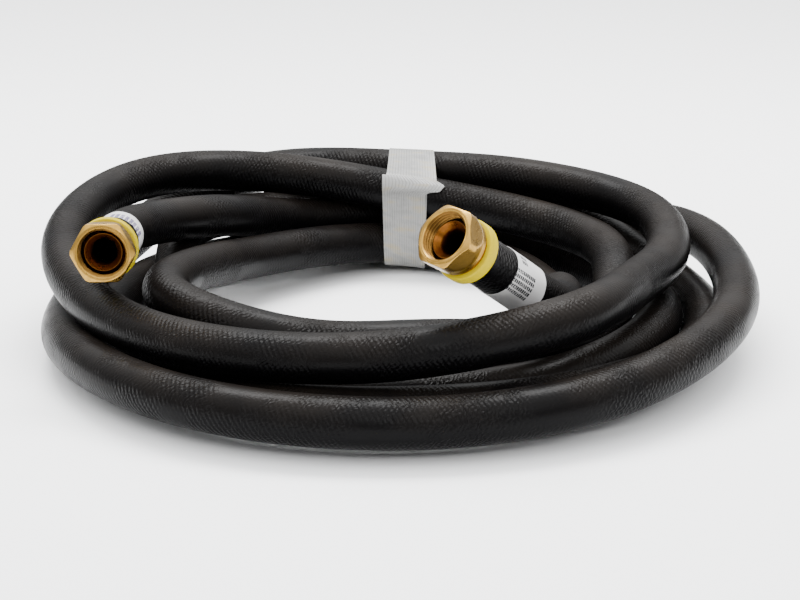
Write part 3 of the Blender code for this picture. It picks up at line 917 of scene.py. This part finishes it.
def crossings(x):
    """Places (y, z) where the hose passes the plane at x behind the coil's middle."""
    start, end = route[:-1], route[1:]
    back = (start[:, 1] > 0.0) & ((start[:, 0] - x) * (end[:, 0] - x) <= 0.0)
    part = (x - start[back, 0]) / (end[back, 0] - start[back, 0])
    return (start[back] + (end[back] - start[back]) * part[:, None])[:, 1:]


def taut_ring(x):
    """Evenly spaced points of a line pulled tight round the turns at x, from the top to the front."""
    centres = crossings(x)
    angles = np.linspace(0.5, 2.5, RING_WAYS) * math.pi
    ways = np.column_stack([np.cos(angles), np.sin(angles)])
    outmost = centres[np.argmax(ways @ centres.T, axis=1)]
    ring = outmost + ways * (HOSE_R + STRAND_GAP)
    run = np.concatenate([[0.0], np.cumsum(np.linalg.norm(np.diff(ring, axis=0), axis=1))])
    even = np.linspace(0.0, run[-1], RING_POINTS)
    return np.column_stack([np.interp(even, run, ring[:, k]) for k in range(2)])


ring_places = np.arange(*RING_PLACES, RING_STEP)
taut_rings = np.array([taut_ring(x) for x in ring_places])
ring_runs = np.gradient(taut_rings, axis=1)
ring_runs[:, 0] = ring_runs[:, -1] = taut_rings[:, 1] - taut_rings[:, -2]
ring_ways = np.stack([ring_runs[..., 1], -ring_runs[..., 0]], axis=-1)
ring_ways /= np.linalg.norm(ring_ways, axis=-1, keepdims=True)


def on_rings(grid, x, along):
    """Value of a grid over the taut rings at places x and at this part of the way round."""
    beside = (x - ring_places[0]) / RING_STEP
    i = beside.astype(int)
    u = (beside - i)[..., None]
    turned_by = along * (RING_POINTS - 1)
    j = turned_by.astype(int)
    v = (turned_by - j)[..., None]
    j = j % (RING_POINTS - 1)
    return (grid[i, j] * (1 - u) + grid[i + 1, j] * u) * (1 - v) \
        + (grid[i, j + 1] * (1 - u) + grid[i + 1, j + 1] * u) * v


def winding(edges, start, slant, distances, lift, closed):
    """Mesh object of one winding of the tape, with what its tree needs stored on its points."""
    table = np.array(edges)
    left = np.interp(distances, table[:, 0], table[:, 1]) * MM
    right = np.interp(distances, table[:, 0], table[:, 2]) * MM
    part = np.linspace(0.0, 1.0, TAPE_COLUMNS)[:, None]
    x = left + (right - left) * part
    fading = np.clip(1.0 - distances / SLANT_FADES, 0.0, 1.0)
    along = (start + distances + slant * fading * (0.5 - part)) / BAND_LENGTH
    place = on_rings(taut_rings, x, along)
    way = on_rings(ring_ways, x, along)
    outer = place + way * (lift + TAPE_FILM)
    inner = place + way * lift
    points = np.concatenate([np.dstack([x, outer]), np.dstack([x, inner])[::-1]])
    film = skin_of("winding", points.reshape(-1, 3), 2 * TAPE_COLUMNS, closed, tape_film)
    ways = np.concatenate([np.dstack([0 * x, way]), np.zeros_like(points[TAPE_COLUMNS:])])
    parts = np.concatenate([part + 0 * x, (part + 0 * x)[::-1]])
    runs = np.concatenate([distances * MM + 0 * x] * 2)
    data = film.data.attributes
    data.new("outwards", "FLOAT_VECTOR", "POINT").data.foreach_set("vector", ways.ravel())
    data.new("across", "FLOAT", "POINT").data.foreach_set("value", parts.ravel())
    data.new("run", "FLOAT", "POINT").data.foreach_set("value", runs.ravel())
    face_outwards(film.data)
    return film


def stretch(tree, where, scales):
    """Places with each of their parts scaled by its own number."""
    return new_node(tree, "ShaderNodeVectorMath", [(0, where), (1, scales)],
                    operation="MULTIPLY").outputs[0]


def tape_tree():
    """Pushes ribs along the tape and small wrinkles out of its outer skin."""
    tree, given, result = tree_with("ribbed tape", [
        ("Ribs", "Float"), ("Rib height", "Float"), ("Wrinkle", "Float"), ("Film", "Material")])
    across, run, outwards = (
        new_node(tree, "GeometryNodeInputNamedAttribute", [("Name", name)], data_type=kind)
        for name, kind in (("across", "FLOAT"), ("run", "FLOAT"), ("outwards", "FLOAT_VECTOR")))
    wave = maths(tree, "MULTIPLY", across.outputs["Attribute"], given.outputs["Ribs"])
    turn = maths(tree, "MULTIPLY", wave, math.pi)
    swing = maths(tree, "SINE", turn)
    rib = maths(tree, "ABSOLUTE", swing)
    place = new_node(tree, "ShaderNodeCombineXYZ", [
        ("X", across.outputs["Attribute"]), ("Y", run.outputs["Attribute"])])
    stretched = stretch(tree, place.outputs[0], (9.0, 60.0, 1.0))
    uneven = noise(tree, stretched, 1.0, 2.0)
    ribs = maths(tree, "MULTIPLY", rib, uneven)
    rib_rise = maths(tree, "MULTIPLY", ribs, given.outputs["Rib height"])
    folds = stretch(tree, place.outputs[0], (3.0, 330.0, 1.0))
    crumple = noise(tree, folds, 1.0, 3.0)
    rise = maths(tree, "MULTIPLY_ADD", crumple, given.outputs["Wrinkle"], rib_rise)
    push = new_node(tree, "ShaderNodeVectorMath", [(0, outwards.outputs["Attribute"])],
                    operation="SCALE")
    tree.links.new(rise, push.inputs["Scale"])
    moved = new_node(tree, "GeometryNodeSetPosition", [
        ("Geometry", given.outputs["Geometry"]), ("Offset", push.outputs[0])])
    real = new_node(tree, "GeometryNodeRealizeInstances", [("Geometry", moved.outputs[0])])
    finish = new_node(tree, "GeometryNodeSetMaterial", [
        ("Geometry", real.outputs[0]), ("Material", given.outputs["Film"])])
    tree.links.new(finish.outputs[0], result.inputs["Geometry"])
    return tree


tape_film, tape_shader = plain_material("white tape film")
tape_nodes = tape_film.node_tree
tape_across = new_node(tape_nodes, "ShaderNodeAttribute", attribute_name="across")
tape_run = new_node(tape_nodes, "ShaderNodeAttribute", attribute_name="run")
tape_ribs = maths(tape_nodes, "MULTIPLY", tape_across.outputs["Fac"], RIB_COUNT * math.pi)
tape_swing = maths(tape_nodes, "SINE", tape_ribs)
tape_rib = maths(tape_nodes, "ABSOLUTE", tape_swing)
tape_groove = ranged(tape_nodes, tape_rib, 0.0, 0.6, 1.0, 0.0)
tape_spot = new_node(tape_nodes, "ShaderNodeCombineXYZ", [
    ("X", tape_across.outputs["Fac"]), ("Y", tape_run.outputs["Fac"])])
tape_stretch = stretch(tape_nodes, tape_spot.outputs[0], (14.0, 150.0, 1.0))
tape_soil = noise(tape_nodes, tape_stretch, 1.0, 4.0)
tape_dirty = maths(tape_nodes, "MULTIPLY", tape_groove, tape_soil)
# Its glue has yellowed in patches, and the hose shows through where it lies close
tape_patches = stretch(tape_nodes, tape_spot.outputs[0], (1.6, 150.0, 1.0))
tape_age = noise(tape_nodes, tape_patches, 1.0, 3.0)
tape_clear = new_node(tape_nodes, "ShaderNodeValToRGB", [("Fac", tape_age)])
tape_shades = tape_clear.color_ramp.elements
tape_shades[0].position = 0.34
tape_shades[0].color = TAPE_THIN
tape_shades[1].position = 0.70
tape_shades[1].color = TAPE_YELLOWED
tape_shades.new(0.52).color = TAPE_WHITE
tape_colour = mixed(tape_nodes, tape_dirty, tape_clear.outputs["Color"], TAPE_SOIL)
tape_nodes.links.new(tape_colour, tape_shader.inputs["Base Color"])
tape_shader.inputs["Roughness"].default_value = 0.35

ribbed = tape_tree()
for name, start in (
        ("tape_first_winding",
         winding(FIRST_WINDING, start=0.0, slant=0.0, lift=0.0, closed=True,
                 distances=np.arange(BAND_STEPS) * BAND_LENGTH / BAND_STEPS)),
        ("tape_last_winding",
         winding(LAST_WINDING, start=CREASE, slant=SLANT, lift=SECOND_LAYER, closed=False,
                 distances=np.linspace(0.0, LAST_LENGTH, LAST_STEPS)))):
    tape = made_by(ribbed, name, start, {
        "Ribs": RIB_COUNT, "Rib height": RIB_HEIGHT, "Wrinkle": WRINKLE, "Film": tape_film})
    tape.data.shade_smooth()
    tape.data.set_sharp_from_angle(angle=math.radians(50.0))
    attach(tape, "coil")
    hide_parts("tie_tape")
